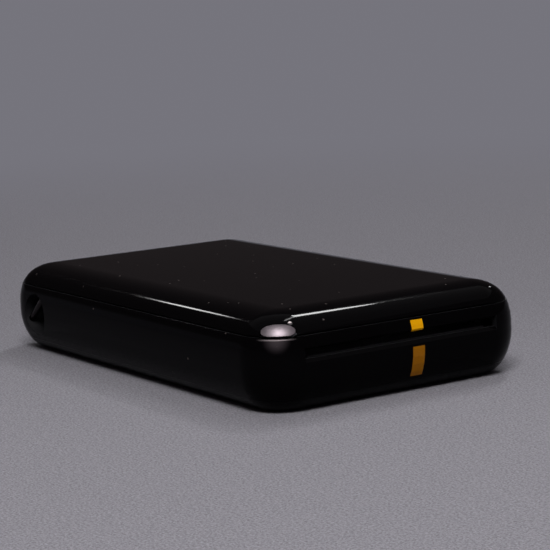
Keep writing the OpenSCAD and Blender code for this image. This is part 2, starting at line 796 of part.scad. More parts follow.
module cover_lip() {
    z0 = seam_height - 0.7;
    top = 2;
    outer = body_wall + 0.75;
    at_z = at_height(seam_height - 0.5);
    from_corner = 3.9;
    side_rear = tray_rear + 27;
    translate([end_x - at_z - outer - 0.9, -tray_half + from_corner, z0])
        cube([0.9, 2 * (tray_half - from_corner) - 4, top]);
    both_sides() translate([side_rear, side_y - at_z - outer - 0.9, z0])
        cube([tray_front - 1 - side_rear, 0.9, top]);
}

module light_way(r, deep, out) {
    reach = 8;
    h = skin_height(corner_radius - reach);
    at_corner(light_angle) translate([reach, 0, h]) rotate([0, 40, 0])
        translate([0, 0, -deep]) cylinder(r = r, h = deep + out, $fn = 32);
}

function skin_height(d, i = last) = i < 1 || skin[i - 1][0] <= d ? skin[i - 1][1]
    + (skin[i][1] - skin[i - 1][1]) * (d - skin[i - 1][0]) / (skin[i][0] - skin[i - 1][0])
    : skin_height(d, i - 1);

module top_cover() {
    color(body_black)
    difference() {
        union() {
            round_case() between(cover_edge, case_height) difference() {
                profile(0);
                profile(cover_wall);
            }
            core_slab(ceiling, case_height);
            cover_lip();
            rod_y([hinge_x, hinge_z], barrel_radius, -barrel_half, barrel_half);
            translate([hinge_x - 0.2, -barrel_half, hinge_z]) cube([1.5, 2 * barrel_half, 1.6]);
            for (sy = [-1, 1]) translate([pad_x, sy * pad_screw_y, post_z])
                cylinder(r = post_radius, h = ceiling - post_z + 0.2, $fn = 40);
            for (k = [-1.5:1.5]) translate([tray_rear + 6, k * rib_pitch_y - 0.5, ceiling - 0.9])
                cube([rib_end - tray_rear - 6, 1, 1.1]);
            for (x = [tray_rear + 13:rib_pitch_x:rib_end - 14])
                translate([x - 0.5, -tray_half, ceiling - 0.7]) cube([1, 2 * tray_half, 0.9]);
        }
        both_sides() rod_y([hinge_x, hinge_z], barrel_radius + free_play,
            barrel_half, knuckle_in + knuckle_width + free_play);
        rod_y([hinge_x, hinge_z], hinge_pin_radius + pin_play, barrel_half - hinge_pin_reach - 0.1,
            barrel_half + 1, 32);
        rod_y([hinge_x, hinge_z], hinge_pin_radius + pin_play, -barrel_half - 1,
            -barrel_half + hinge_pin_reach + 0.1, 32);
        button_gap();
        light_way(light_radius + pin_play, 4, 2);
        for (sy = [-1, 1]) translate([pad_x, sy * pad_screw_y, post_z - 1])
            cylinder(r = screw_radius + pin_play, h = 3.6, $fn = 32);
    }
}

module power_button() {
    color([0.75, 0.75, 0.77]) {
        intersection() {
            at_button() translate([0, 0, -2.5]) linear_extrude(5) button_outline(0);
            at_corner(-90) rotate_extrude(angle = 90, $fn = 64)
                between(seam_height + button_travel + 0.13, case_height) difference() {
                    profile(-button_proud);
                    profile(1.3);
                }
        }
        at_corner(button_angle) {
            translate([stem_reach, -1.2, seam_height + 0.3]) cube([2.6, 2.4, 1.1]);
            translate([stem_reach, 0, stem_bottom])
                cylinder(r = stem_radius, h = seam_height + 1.4 - stem_bottom, $fn = 48);
        }
    }
}

module status_light() {
    color([0.85, 0.9, 0.95]) light_way(light_radius, cover_wall + 0.5, 0.02);
}

module switch_board() {
    color(board_green) at_corner(button_angle) translate([stem_reach, 0, switch_board_z])
        cylinder(r = switch_board_radius, h = 0.8, $fn = 48);
}

module push_switch() {
    color(frame_grey) at_corner(button_angle) translate([stem_reach, 0, switch_board_z + 0.8]) {
        translate([-switch_size / 2, -switch_size / 2, 0])
            cube([switch_size, switch_size, switch_height - 0.4]);
        cylinder(r = 0.8, h = switch_height, $fn = 32);
    }
}

// Chassis

module tray_walls() {
    both_sides() translate([tray_rear - chassis_wall, tray_half, tray_z - tray_floor])
        cube([tray_front - tray_rear + chassis_wall, chassis_wall, tray_top - tray_z + tray_floor]);
    translate([tray_rear - chassis_wall, -plate_out, tray_z - tray_floor])
        cube([chassis_wall, 2 * plate_out, tray_top - tray_z + tray_floor]);
    translate([tray_rear - chassis_wall, -plate_out, tray_z - tray_floor])
        cube([tray_front - tray_rear + chassis_wall, 2 * plate_out, tray_floor]);
    both_sides() profile_y(tray_half, plate_out) {
        translate([pick_x, pick_z]) circle(r = bush_radius + 1.4, $fn = 40);
        translate([pick_x - bush_radius - 1.4, pick_z])
            square([2 * bush_radius + 2.8, tray_z - pick_z]);
    }
}

module side_plates() {
    both_sides() profile_y(tray_half, plate_out) polygon([
        [tray_front - 0.5, floor_top], [plate_front, floor_top],
        [plate_front, plate_top - 1.4], [plate_front - 1.4, plate_top],
        [bridge_x - bridge_width / 2 - 1, plate_top],
        [bridge_x - bridge_width / 2 - 3, tray_top], [tray_front - 0.5, tray_top]
    ]);
    profile_y(tray_half, plate_out) polygon([
        [plate_front - 1, floor_top], [motor_x + motor_width / 2, floor_top],
        [motor_x + motor_width / 2, motor_z + motor_height / 2 + 0.4],
        [front_post[0] + 1.8, motor_z + motor_height / 2 + 1.4],
        [front_post[0] + 1.8, front_post[1] + 1.8], [plate_front - 1, front_post[1] + 1.8]
    ]);
}

// Upper paper guides: y runs across, the profile lies in the XZ plane
module paper_guides() {
    low = guide_z - guide_wall;
    profile_y(-tray_half - 0.5, tray_half + 0.5) polygon([
        [tray_front - 1, tray_z - tray_floor], [tray_front + 0.2, tray_z - tray_floor],
        [feed_x - 2.9, low], [feed_x - 2.9, guide_z - 0.1],
        [tray_front + 0.2, tray_z], [tray_front - 1, tray_z]
    ]);
    profile_y(-tray_half - 0.5, tray_half + 0.5) polygon([
        [feed_x + 3, low], [platen_x - 3.5, low], [platen_x - 3.5, guide_z], [feed_x + 3, guide_z - 0.2]
    ]);
    profile_y(-tray_half - 0.5, tray_half + 0.5) polygon([
        [platen_x + 3.5, low], [plate_front, low], [plate_front, guide_z], [platen_x + 3.5, guide_z - 0.2]
    ]);
    profile_y(-tray_half + 1, tray_half - 1) polygon([
        [plate_front - 1, low - 0.3], [end_x - body_wall - 0.6, low],
        [end_x - body_wall - 0.6, guide_z - 0.3], [plate_front - 1, guide_z]
    ]);
}

module chassis() {
    color(frame_grey)
    difference() {
        union() {
            tray_walls();
            side_plates();
            paper_guides();
            both_sides() rod_y([bridge_x, plate_top - 2], 2, plate_out - 0.2, boss_y + 2, 40);
            both_sides() translate([bridge_x - 2, plate_out - 0.2, plate_top - 2])
                cube([4, boss_y + 2.2 - plate_out, 2]);
            for (p = [front_post, middle_post]) rod_y(p, 1.5, plate_out - 0.2, gear_plate_y, 40);
        }
        for (sy = [-1, 1]) translate([pick_x - 5.2, sy * pick_y - pick_width / 2 - 1, tray_z - 3])
            cube([10.4, pick_width + 2, 6]);
        for (p = tray_screw_places) translate([p[0], p[1], tray_z - 3]) {
            cylinder(r = screw_radius + 0.2, h = 6, $fn = 32);
            translate([0, 0, 3 - screw_cap - 0.02]) cylinder(r = screw_head + 0.15, h = 3, $fn = 40);
        }
        for (p = [pick_at, feed_at, platen_at]) both_sides()
            rod_y(p, bush_radius + pin_play, tray_half - 1, plate_out + 1);
        both_sides() rod_y(pinch_at, pinch_end + pin_play, tray_half - 1, plate_out + 1, 32);
        both_sides() rod_y(head_pin_at, head_pin_radius + pin_play, tray_half - 1, plate_out + 1, 32);
        rod_y(motor_at, 1.6, tray_half - 1, plate_out + 1, 32);
        for (s = [-1, 1]) rod_y([motor_x + s * 3.3, motor_z], 0.55, tray_half - 1, plate_out + 1, 32);
        for (s = [-1, 1]) rod_y([motor_x + s * 3.3, motor_z], 1.05, plate_out - 0.5, plate_out + 1, 32);
        for (p = [reduction_at, idler_at, pick_idler_at])
            rod_y(p, stud_radius + pin_play, plate_out - 1.1, plate_out + 1, 32);
        for (p = [front_post, middle_post]) rod_y(p, 0.65, gear_plate_y - 3, gear_plate_y + 1, 32);
        both_sides() translate([bridge_x, boss_y, plate_top - 3])
            cylinder(r = screw_radius + pin_play, h = 4, $fn = 32);
    }
}

module chassis_screws() {
    color(steel)
    for (p = tray_screw_places) translate([p[0], p[1], tray_z - screw_cap - 0.02])
        screw(screw_radius, screw_head, screw_cap - 0.05, tray_screw_length);
}

module shaft_bushes() {
    color([0.8, 0.62, 0.3])
    both_sides() for (p = [pick_at, feed_at, platen_at]) difference() {
        union() {
            rod_y(p, bush_radius, tray_half - eps, plate_out);
            rod_y(p, bush_flange, tray_half - bush_rim, tray_half);
        }
        rod_y(p, shaft_radius + pin_play, tray_half - 2, plate_out + 1);
    }
}

// Rollers

module shaft(p, y1) {
    rod_y(p, shaft_radius, -plate_out - 0.3, y1);
}

module hub_pair(p, r, half, mid) {
    for (s = [-1, 1]) rod_y(p, r, s * mid - half, s * mid + half);
}

module sleeve(p, outer, inner, y0, y1) {
    difference() {
        rod_y(p, outer, y0, y1, 64);
        rod_y(p, inner, y0 - 1, y1 + 1);
    }
}

module pick_shaft() {
    color(steel) {
        shaft(pick_at, layer_b + gear_width);
        hub_pair(pick_at, pick_radius - 1.6, pick_width / 2 + 0.4, pick_y);
    }
}

module pick_tyres() {
    color(rubber_black) for (s = [-1, 1])
        sleeve(pick_at, pick_radius, pick_radius - 1.6 + 0.01,
            s * pick_y - pick_width / 2, s * pick_y + pick_width / 2);
}

module feed_shaft() {
    color(steel) shaft(feed_at, layer_b + gear_width);
}

module feed_rollers() {
    color(rubber_black) for (s = [-1, 1])
        sleeve(feed_at, feed_radius, shaft_radius + 0.01, s * roller_half / 2 - roller_half / 2 + 0.5,
            s * roller_half / 2 + roller_half / 2 - 0.5);
}

module pinch_roller() {
    color(steel) {
        rod_y(pinch_at, pinch_end, -plate_out, plate_out, 32);
        hub_pair(pinch_at, pinch_radius, roller_half / 2 - 1, roller_half / 2);
    }
}

module platen_shaft() {
    color(steel) shaft(platen_at, layer_b + gear_width);
}

module platen_roller() {
    color(rubber_black)
        sleeve(platen_at, platen_radius, shaft_radius + 0.01, -roller_half, roller_half);
}

// Gears

pressure_angle = 20;
function inv(a) = tan(a) * 180 / PI - a;
function half_tooth(n, r) = 90 / n + inv(pressure_angle)
    - (r > base_radius(n) ? inv(acos(base_radius(n) / r)) : 0)
    - tooth_play * 45 / (PI * pitch_radius(n));
function base_radius(n) = pitch_radius(n) * cos(pressure_angle);
function flank(n) = [
    pitch_radius(n) - 1.25 * gear_module,
    max(base_radius(n), pitch_radius(n) - gear_module * 0.9),
    pitch_radius(n) + 0.1 * gear_module,
    pitch_radius(n) + gear_module
];
function wheel_points(n, start) = [for (k = [0:n - 1], s = [-1, 1], j = [0:3])
    let (r = flank(n)[s < 0 ? j : 3 - j], a = start + k * 360 / n + s * half_tooth(n, r))
    r * [cos(a), sin(a)]];

module wheel(p, n, start, y0, y1) {
    profile_y(y0, y1) translate(p) polygon(wheel_points(n, start));
}

module shaft_gear(p, n, start) {
    difference() {
        union() {
            wheel(p, n, start, layer_b, layer_b + gear_width);
            rod_y(p, shaft_radius + 0.55, plate_out + 0.4, layer_b + 0.2);
        }
        rod_y(p, shaft_radius + 0.01, plate_out - 1, layer_b + gear_width + 1);
    }
}

module platen_gear() { color(gear_white) shaft_gear(platen_at, large_teeth, platen_phase); }
module feed_gear() { color(gear_white) shaft_gear(feed_at, feed_teeth, feed_phase); }
module pick_gear() { color(gear_white) shaft_gear(pick_at, pick_teeth, pick_phase); }

module stud_gear(p, n, start) {
    difference() {
        union() {
            wheel(p, n, start, layer_b, layer_b + gear_width);
            rod_y(p, stud_radius + 0.8, plate_out + 0.3, layer_b + 0.2);
        }
        rod_y(p, stud_radius + pin_play, plate_out - 1, layer_b + gear_width + 1, 32);
    }
}

module feed_idler() { color(gear_white) stud_gear(idler_at, pinion_teeth, idler_phase); }
module pick_idler() { color(gear_white) stud_gear(pick_idler_at, pick_teeth, pick_idler_phase); }

module reduction_gear() {
    color(gear_white) difference() {
        union() {
            wheel(reduction_at, large_teeth, reduction_phase, layer_a, layer_a + gear_width);
            wheel(reduction_at, pinion_teeth, reduction_phase,
                layer_a + gear_width - 0.2, layer_b + gear_width);
            rod_y(reduction_at, stud_radius + 0.8, plate_out + 0.3, layer_a + 0.2);
        }
        rod_y(reduction_at, stud_radius + pin_play, plate_out - 1, layer_b + gear_width + 1, 32);
    }
}

module motor_pinion() {
    color([0.8, 0.62, 0.3]) {
        wheel(motor_at, pinion_teeth, motor_phase, layer_a, layer_a + gear_width);
        rod_y(motor_at, motor_shaft, tray_half - 0.9, layer_a + 0.2, 32);
    }
}

module motor() {
    w = motor_width / 2;
    h = motor_height / 2;
    color(steel) difference() {
        union() {
            intersection() {
                rod_y(motor_at, w, tray_half - motor_length, tray_half, 64);
                translate([motor_x - w, tray_half - motor_length - 1, motor_z - h])
                    cube([2 * w, motor_length + 2, 2 * h]);
            }
            rod_y(motor_at, 1.5, tray_half - 0.2, plate_out - 0.2, 32);
            rod_y(motor_at, 1.8, tray_half - motor_length - 0.8, tray_half - motor_length + 0.2, 32);
        }
        rod_y(motor_at, motor_shaft + pin_play, tray_half - 1, plate_out + 1, 32);
        for (s = [-1, 1]) rod_y([motor_x + s * 3.3, motor_z], 0.45, tray_half - 2.5, tray_half + 1, 32);
    }
}

module motor_screws() {
    color(steel) for (s = [-1, 1])
        translate([motor_x + s * 3.3, plate_out - 0.5, motor_z]) rotate([-90, 0, 0])
            screw(0.4, 0.95, 0.45, 2.4);
}

module gear_pins() {
    color(steel) for (p = [reduction_at, idler_at, pick_idler_at])
        rod_y(p, stud_radius, plate_out - 1.1, gear_plate_y + gear_plate_wall, 32);
}

module link(p, q, r) {
    hull() {
        translate(p) circle(r = r, $fn = 32);
        translate(q) circle(r = r, $fn = 32);
    }
}

module gear_plate() {
    color(steel) difference() {
        profile_y(gear_plate_y, gear_plate_y + gear_plate_wall) {
            link(pick_idler_at, idler_at, 2.6);
            link(idler_at, middle_post, 2.6);
            link(idler_at, reduction_at, 2.6);
            link(reduction_at, front_post, 2.6);
        }
        for (p = [reduction_at, idler_at, pick_idler_at])
            rod_y(p, stud_radius + 0.02, gear_plate_y - 1, gear_plate_y + 2, 32);
        for (p = [front_post, middle_post]) rod_y(p, 0.75, gear_plate_y - 1, gear_plate_y + 2, 32);
    }
}

module gear_plate_screws() {
    color(steel) for (p = [front_post, middle_post])
        translate([p[0], gear_plate_y + gear_plate_wall, p[1]]) rotate([-90, 0, 0])
            screw(0.6, 1.3, 0.5, 3.2);
}

// Thermal head

module thermal_head() {
    color([0.86, 0.84, 0.78])
    translate([ceramic_front - ceramic_width, -tray_half + free_play + 0.1, head_z])
        cube([ceramic_width, 2 * (tray_half - free_play - 0.1), ceramic_wall]);
}

module heat_sink() {
    z0 = head_z + ceramic_wall;
    rear = ceramic_front - ceramic_width - 1;
    half = tray_half - free_play - 0.1;
    color([0.78, 0.79, 0.8])
    difference() {
        union() {
            translate([rear, -half, z0]) cube([head_pin_x - rear, 2 * half, sink_wall]);
            for (x = [rear, rear + 2, ceramic_front - 1.4, ceramic_front - 3.4])
                translate([x, -half, z0 + sink_wall - 0.1]) cube([fin_wall, 2 * half, fin_rise + 0.1]);
            rod_y(head_pin_at, head_pin_radius + 1, -half, half, 40);
            translate([head_pin_x - 1.8, -half, z0]) cube([1.8, 2 * half, head_pin_z - z0]);
        }
        rod_y(head_pin_at, head_pin_radius + pin_play, -half - 1, half + 1, 32);
        for (s = [-1, 1]) translate([bridge_x, s * head_spring_y, z0 + sink_wall])
            cylinder(r = head_spring_radius + 0.6, h = 6, $fn = 40);
    }
}

module head_pin() {
    color(steel) rod_y(head_pin_at, head_pin_radius, -plate_out, plate_out, 32);
}

module pressure_bridge() {
    w = bridge_width / 2;
    color(steel) difference() {
        union() {
            translate([bridge_x - w, -plate_out + 0.1, plate_top])
                cube([bridge_width, 2 * plate_out - 0.2, bridge_wall]);
            translate([bridge_x - 2.2, -boss_y - 2, plate_top]) cube([4.4, 2 * boss_y + 4, bridge_wall]);
            for (x = [bridge_x - w, bridge_x + w - bridge_wall])
                translate([x, -plate_out + 2, plate_top]) cube([bridge_wall, 2 * plate_out - 4, 1.6]);
        }
        for (s = [-1, 1]) translate([bridge_x, s * boss_y, plate_top - 1])
            cylinder(r = screw_radius + 0.15, h = 4, $fn = 32);
    }
}

module bridge_screws() {
    color(steel) for (s = [-1, 1]) translate([bridge_x, s * boss_y, plate_top + bridge_wall])
        screw(screw_radius, screw_head, screw_cap - 0.1, bridge_screw_length);
}

// Springs: one unbroken tube each, with closed ends

function coil_route(r, turns, rise, steps) = [for (i = [0:turns * steps])
    let (a = i * 360 / steps, f = i / (turns * steps)) [r * cos(a), r * sin(a), f * rise]];

module coil(r, turns, height) {
    steps = 8;
    rise = height - spring_wire;
    route = coil_route(r, turns, rise, steps);
    n = len(route) - 1;
    slope = atan2(rise / turns, 2 * PI * r);
    ring = [for (i = [0:n], k = [0:5]) let (
        a = i * 360 / steps,
        t = [-sin(a) * cos(slope), cos(a) * cos(slope), sin(slope)],
        e = [cos(a), sin(a), 0],
        up = cross(t, e),
        q = 60 * k + 30
    ) route[i] + spring_wire / 2 * (cos(q) * e + sin(q) * up)];
    sides = [for (i = [0:n - 1], k = [0:5]) let (m = (k + 1) % 6)
        each [[6 * i + k, 6 * (i + 1) + k, 6 * i + m], [6 * i + m, 6 * (i + 1) + k, 6 * (i + 1) + m]]];
    start = [for (k = [1:4]) [0, k, k + 1]];
    finish = [for (k = [1:4]) [6 * n, 6 * n + k + 1, 6 * n + k]];
    echo(str("least gap between curls: ", rise / turns - spring_wire));
    translate([0, 0, spring_wire / 2]) polyhedron(concat(ring), concat(sides, start, finish));
}

module head_springs() {
    seat = head_z + ceramic_wall + sink_wall + 0.05;
    color(steel) for (s = [-1, 1]) translate([bridge_x, s * head_spring_y, seat])
        coil(head_spring_radius, 3, plate_top - seat - 0.05);
}

module pad_springs() {
    seat = pad_z + pad_wall + 0.05;
    color(steel) for (s = [-1, 1]) translate([pad_x, s * pad_screw_y, seat])
        coil(pad_spring_radius, 5, ceiling - seat - 0.05);
}

// Pressure pad

pad_pocket = 0.95;

module pressure_pad() {
    color(frame_grey) difference() {
        union() {
            translate([pad_x - pad_length / 2, -pad_width / 2, pad_z])
                cube([pad_length, pad_width, pad_wall]);
            for (s = [-1, 1]) translate([pad_x - pad_length / 2, s * pad_width / 2 - (s + 1) / 2, pad_z])
                cube([pad_length, 1, pad_wall + 0.8]);
        }
        for (s = [-1, 1]) translate([pad_x, s * pad_screw_y, pad_z - 1]) {
            cylinder(r = shoulder_radius + pin_play, h = 5, $fn = 40);
            cylinder(r = shoulder_radius + 1, h = 1 + pad_pocket, $fn = 40);
        }
        for (s = [-1, 1]) translate([pad_x + s * (pad_length / 2 + 1.4), -pad_width, pad_z])
            rotate([0, s * 45, 0]) translate([-1, 0, -1]) cube([2, 2 * pad_width, 2]);
    }
}

module pad_screws() {
    color(steel) for (s = [-1, 1]) translate([pad_x, s * pad_screw_y, pad_z + 0.15]) {
        cylinder(r = shoulder_radius + 0.7, h = pad_pocket - 0.2, $fn = 40);
        cylinder(r = shoulder_radius, h = post_z - pad_z - 0.15, $fn = 40);
        cylinder(r = screw_radius, h = post_z - pad_z - 0.15 + 2.4, $fn = 32);
    }
}

// Electronics

module main_board() {
    color(board_green) difference() {
        translate([board_rear, -board_width / 2, board_z]) cube([board_length, board_width, board_wall]);
        for (p = board_screw_places) translate([p[0], p[1], board_z - 1])
            cylinder(r = screw_radius + 0.15, h = 4, $fn = 32);
    }
}

module board_screws() {
    color(steel) for (p = board_screw_places) translate([p[0], p[1], board_z + board_wall])
        screw(screw_radius, screw_head, screw_cap, board_screw_length);
}

module shield_can() {
    color(steel) translate([board_rear + shield_inset, -2, board_z + board_wall]) difference() {
        cube([shield_length, shield_width, shield_height]);
        translate([shield_wall, shield_wall, -1]) cube([shield_length - 2 * shield_wall,
            shield_width - 2 * shield_wall, 1 + shield_height - shield_wall]);
    }
}

module usb_form(w, h, x0, x1) {
    z = board_z + board_wall + usb_height / 2;
    r = h / 2;
    translate([x0, usb_y, z]) rotate([90, 0, 90]) linear_extrude(x1 - x0) {
        for (s = [-1, 1]) translate([s * (w / 2 - r), 0]) circle(r = r, $fn = 40);
        square([w - 2 * r, h], center = true);
    }
}

module usb_socket() {
    front = -end_x + body_wall;
    z = board_z + board_wall + usb_height / 2;
    color(steel) {
        difference() {
            usb_form(usb_width, usb_height, front, front + usb_length);
            usb_form(usb_width - 2 * usb_wall, usb_height - 2 * usb_wall,
                front - 1, front + usb_length - 0.8);
        }
        translate([front + 0.6, usb_y - usb_width / 2 + 1.4, z - 0.35])
            cube([usb_length - 1, usb_width - 2.8, 0.7]);
    }
}

module battery() {
    color([0.16, 0.2, 0.3])
    translate([battery_rear, 0, battery_z])
        rotate([90, 0, 90]) linear_extrude(battery_length) {
            for (s = [-1, 1]) translate([s * (battery_width / 2 - 1.5), 1.5]) circle(r = 1.5, $fn = 32);
            for (s = [-1, 1]) translate([s * (battery_width / 2 - 1.5), battery_height - 1.5])
                circle(r = 1.5, $fn = 32);
            translate([-battery_width / 2 + 1.5, 0]) square([battery_width - 3, battery_height]);
            translate([-battery_width / 2, 1.5]) square([battery_width, battery_height - 3]);
        }
}

top_cover();
body_shell();
bottom_cover();
rubber_feet();
case_screws();
mark_upper();
mark_lower();
lanyard_bar();
cover_hinge_pins();
power_button();
status_light();
switch_board();
push_switch();
chassis();
chassis_screws();
shaft_bushes();
pick_shaft();
pick_tyres();
pick_gear();
feed_shaft();
feed_rollers();
feed_gear();
pinch_roller();
platen_shaft();
platen_roller();
platen_gear();
motor();
motor_pinion();
motor_screws();
reduction_gear();
feed_idler();
pick_idler();
gear_pins();
gear_plate();
gear_plate_screws();
thermal_head();
heat_sink();
head_pin();
head_springs();
pressure_bridge();
bridge_screws();
pressure_pad();
pad_screws();
pad_springs();
main_board();
board_screws();
shield_can();
usb_socket();
battery();
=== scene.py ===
import json
import math

import bmesh
import bpy
from mathutils import Matrix, Vector
from mathutils.bvhtree import BVHTree

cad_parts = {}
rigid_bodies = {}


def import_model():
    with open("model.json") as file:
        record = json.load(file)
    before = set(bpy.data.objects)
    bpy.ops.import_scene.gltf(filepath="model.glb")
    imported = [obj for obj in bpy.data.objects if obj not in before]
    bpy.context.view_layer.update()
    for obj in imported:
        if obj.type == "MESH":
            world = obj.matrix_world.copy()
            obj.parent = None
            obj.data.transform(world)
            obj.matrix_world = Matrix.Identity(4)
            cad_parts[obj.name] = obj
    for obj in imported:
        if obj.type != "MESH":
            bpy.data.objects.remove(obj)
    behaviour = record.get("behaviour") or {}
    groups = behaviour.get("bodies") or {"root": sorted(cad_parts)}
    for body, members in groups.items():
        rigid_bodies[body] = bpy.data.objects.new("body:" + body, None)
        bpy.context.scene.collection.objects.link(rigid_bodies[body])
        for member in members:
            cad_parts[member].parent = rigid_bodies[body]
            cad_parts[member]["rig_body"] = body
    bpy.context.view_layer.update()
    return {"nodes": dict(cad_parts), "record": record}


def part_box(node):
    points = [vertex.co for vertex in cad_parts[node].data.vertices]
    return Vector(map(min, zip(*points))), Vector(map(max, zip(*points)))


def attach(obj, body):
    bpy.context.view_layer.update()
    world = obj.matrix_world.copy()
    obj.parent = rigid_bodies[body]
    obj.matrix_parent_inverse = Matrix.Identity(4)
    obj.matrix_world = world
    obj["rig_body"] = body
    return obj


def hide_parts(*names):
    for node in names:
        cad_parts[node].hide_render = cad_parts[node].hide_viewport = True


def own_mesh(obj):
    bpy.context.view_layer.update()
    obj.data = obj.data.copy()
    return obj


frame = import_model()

# Heights and sizes, in millimetres

MM = 0.001
COVER_EDGE = 17.9
SHELL_EDGE = 17.5
PARTING_EASE = 0.03
BOARD_TOP = 4.4
WELD = 0.002

# Angles in degrees: flatter joins are dissolved, and sharper edges stay hard

FLAT_JOIN = 0.2
CASE_CREASE = 24.0
SPRING_CREASE = 60.0
BOARD_CREASE = 30.0

# Painted reflection glow and painted highlight line on the body under the button, where the roughness is also
# raised: tone, middle, reach, lowest and highest point
PAINTED_GLOW_PLACES = [
    # Painted reflection glow below the button, over a patch of raised roughness
    ((0.085, 0.071, 0.077), (61.7, -33.4, 17.7), 4.1, 13.0, 17.7),
    # Painted highlight line along the body's upper edge under the button
    ((0.40, 0.35, 0.36), (61.7, -33.4, 17.0), 5.4, 16.9, 17.2),
]

# Springs: the joint that closes them, the height of the end that stays, the other end's travel
SPRINGS = {
    "pad_springs": ("pad_slide", 20.85, 2.0),
    "head_springs": ("head_hinge", 18.35, 0.62),
}


def mm(*values):
    return Vector([v * MM for v in values])


def add_object(name, data):
    piece = bpy.data.objects.new(name, data)
    bpy.context.scene.collection.objects.link(piece)
    return piece


# The camera

def place_camera():
    """The photograph's camera, from its place and its right, up and back directions."""
    place = mm(409.843, -261.084, 95.748)
    right = Vector((0.55341, 0.83174, -0.04417))
    up = Vector((-0.10275, 0.12080, 0.98734))
    back = Vector((0.82655, -0.54187, 0.15232))
    data = bpy.data.cameras.new("camera")
    data.sensor_width = 36
    data.lens = 128.16
    data.clip_start = 0.01
    data.clip_end = 50
    camera = add_object("camera", data)
    turn = Matrix((right, up, back)).transposed().to_4x4()
    camera.matrix_world = Matrix.Translation(place) @ turn
    bpy.context.scene.camera = camera


# Steps that several materials share

def is_output(value):
    return isinstance(value, bpy.types.NodeSocket)


def add_node(tree, kind, inputs=(), **settings):
    """A shader node. Each input gets a plain value, or is linked to another node's output."""
    node = tree.nodes.new(kind)
    for key, value in settings.items():
        setattr(node, key, value)
    for socket, value in dict(inputs).items():
        if is_output(value):
            tree.links.new(value, node.inputs[socket])
        else:
            node.inputs[socket].default_value = value
    return node


def object_place(tree):
    return add_node(tree, "ShaderNodeTexCoord").outputs["Object"]


def object_height(tree):
    return add_node(tree, "ShaderNodeSeparateXYZ", {0: object_place(tree)}).outputs["Z"]


def calculate(tree, operation, *terms):
    return add_node(tree, "ShaderNodeMath", enumerate(terms), operation=operation).outputs[0]


def smooth_step(tree, value, start, end, low=0.0, high=1.0):
    """Goes smoothly from low to high while value goes from start to end."""
    inputs = {"Value": value, "From Min": start, "From Max": end, "To Min": low, "To Max": high}
    step = add_node(tree, "ShaderNodeMapRange", inputs, interpolation_type="SMOOTHSTEP")
    return step.outputs["Result"]


def distance_from(tree, place, axes=(1, 1, 1)):
    """Distance from a place, measured along the axes marked with 1."""
    back = [-v * axis for v, axis in zip(place, axes)]
    inputs = {"Vector": object_place(tree), "Location": back, "Scale": axes}
    centred = add_node(tree, "ShaderNodeMapping", inputs).outputs["Vector"]
    return add_node(tree, "ShaderNodeVectorMath", {0: centred}, operation="LENGTH").outputs["Value"]


def mix_colors(tree, factor, low, high):
    """A colour between low and high, each of them plain or another node's output."""
    low, high = [color if is_output(color) else (*color, 1) for color in (low, high)]
    return add_node(tree, "ShaderNodeMix", {0: factor, 6: low, 7: high}, data_type="RGBA").outputs[2]


def relief(tree, height, strength, depth):
    """Fine relief from a height, with its depth in millimetres."""
    inputs = {"Height": height, "Strength": strength, "Distance": depth * MM}
    return add_node(tree, "ShaderNodeBump", inputs).outputs["Normal"]


def scaled_color(color, factor, lift=0.0):
    return [min(1, c * factor + lift) for c in color]


# Effects that several materials share, each a node group

def shader_group(name, inputs, outputs):
    group = bpy.data.node_groups.new(name, "ShaderNodeTree")
    for label, value in inputs.items():
        socket = group.interface.new_socket(label, in_out="INPUT", socket_type="NodeSocketFloat")
        socket.default_value = value
    for label in outputs:
        group.interface.new_socket(label, in_out="OUTPUT", socket_type="NodeSocketFloat")
    return group, group.nodes.new("NodeGroupInput").outputs, group.nodes.new("NodeGroupOutput").inputs


def moulded_grain_group():
    """Fine eroded texture of a moulded plastic face."""
    group, ins, outs = shader_group("moulded grain", {"Scale": 900.0, "Contrast": 1.0}, ["Height"])
    where = {"Vector": object_place(group), "Scale": ins["Scale"]}
    noise = add_node(group, "ShaderNodeTexNoise", {**where, "Detail": 3}).outputs["Fac"]
    cells = add_node(group, "ShaderNodeTexVoronoi", where, feature="SMOOTH_F1").outputs["Distance"]
    blend = calculate(group, "MULTIPLY_ADD", noise, 0.6, cells)
    group.links.new(calculate(group, "MULTIPLY", blend, ins["Contrast"]), outs["Height"])
    return group


def handling_group():
    """Uneven gloss where hands and cloths have been."""
    group, ins, outs = shader_group("handling", {"Scale": 30.0, "Low": 0.05, "High": 0.12},
                                    ["Roughness", "Mask"])
    clouds = {"Vector": object_place(group), "Scale": ins["Scale"],
              "Detail": 5, "Roughness": 0.6, "Distortion": 0.6}
    noise = add_node(group, "ShaderNodeTexNoise", clouds).outputs["Fac"]
    spread = {"Value": noise, "From Min": 0.35, "From Max": 0.7, "To Min": ins["Low"], "To Max": ins["High"]}
    group.links.new(add_node(group, "ShaderNodeMapRange", spread).outputs["Result"], outs["Roughness"])
    group.links.new(noise, outs["Mask"])
    return group


def dust_group():
    """Small settled specks, a few to the square centimetre."""
    group, ins, outs = shader_group("settled dust", {"Scale": 260.0, "Size": 0.12, "Share": 0.2}, ["Mask"])
    where = {"Vector": object_place(group), "Scale": ins["Scale"]}
    cells = add_node(group, "ShaderNodeTexVoronoi", where, feature="F1")
    lot = add_node(group, "ShaderNodeSeparateColor", {"Color": cells.outputs["Color"]}).outputs["Red"]
    near = calculate(group, "LESS_THAN", cells.outputs["Distance"], ins["Size"])
    rare = calculate(group, "LESS_THAN", lot, ins["Share"])
    group.links.new(calculate(group, "MULTIPLY", near, rare), outs["Mask"])
    return group


